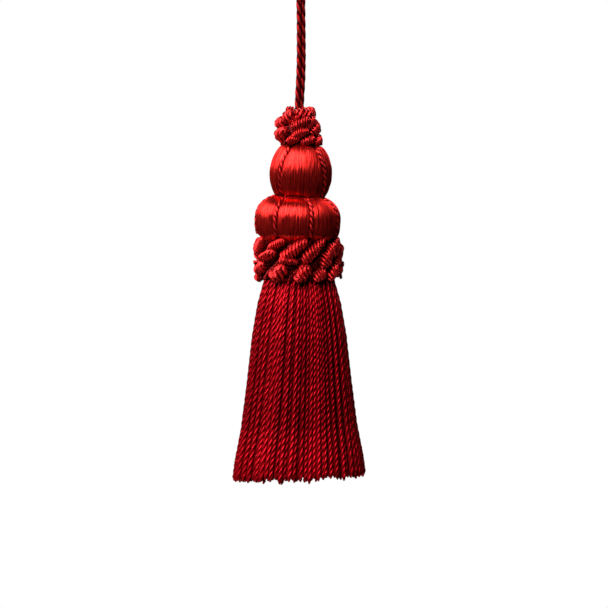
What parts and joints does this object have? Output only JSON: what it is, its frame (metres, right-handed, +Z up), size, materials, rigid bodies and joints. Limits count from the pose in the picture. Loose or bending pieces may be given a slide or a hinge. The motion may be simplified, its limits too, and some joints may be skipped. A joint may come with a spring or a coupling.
{
  "type": "silk key tassel with a hanging loop",
  "caption": "Hanging tassel with a cord loop, a twisted neck ruff, a floss-wound ball and squat bun laid with cords, a twisted base ruff and a skirt of loose bullion strands.",
  "frame": {"origin": "underside of the hanging loop's bight, where it bears on whatever it hangs from", "axes": "+Z up along the tassel, -Y towards its front, +X to its right seen from the front"},
  "size_m": [0.0543, 0.0545, 0.2177],
  "materials": {
    "cord_silk": "two-ply twisted silk cord, soft sheen",
    "floss_silk": "straight-wound silk floss, satin sheen along the threads",
    "ruff_silk": "tightly twisted silk rolls, satin",
    "skirt_silk": "hard-twisted bullion strands, soft sheen"
  },
  "bodies": {
    "root": {"hanging_cord": "cord_silk", "neck_ruff": "ruff_silk", "ball": "floss_silk", "ball_cord_1": "cord_silk", "ball_cord_2": "cord_silk", "ball_cord_3": "cord_silk", "ball_cord_4": "cord_silk", "bun": "floss_silk", "bun_cord_1": "cord_silk", "bun_cord_2": "cord_silk", "bun_cord_3": "cord_silk", "bun_cord_4": "cord_silk", "bun_cord_5": "cord_silk", "bun_cord_6": "cord_silk", "bun_cord_7": "cord_silk", "base_ruff": "ruff_silk", "skirt": "skirt_silk"}
  },
  "joints": []
}
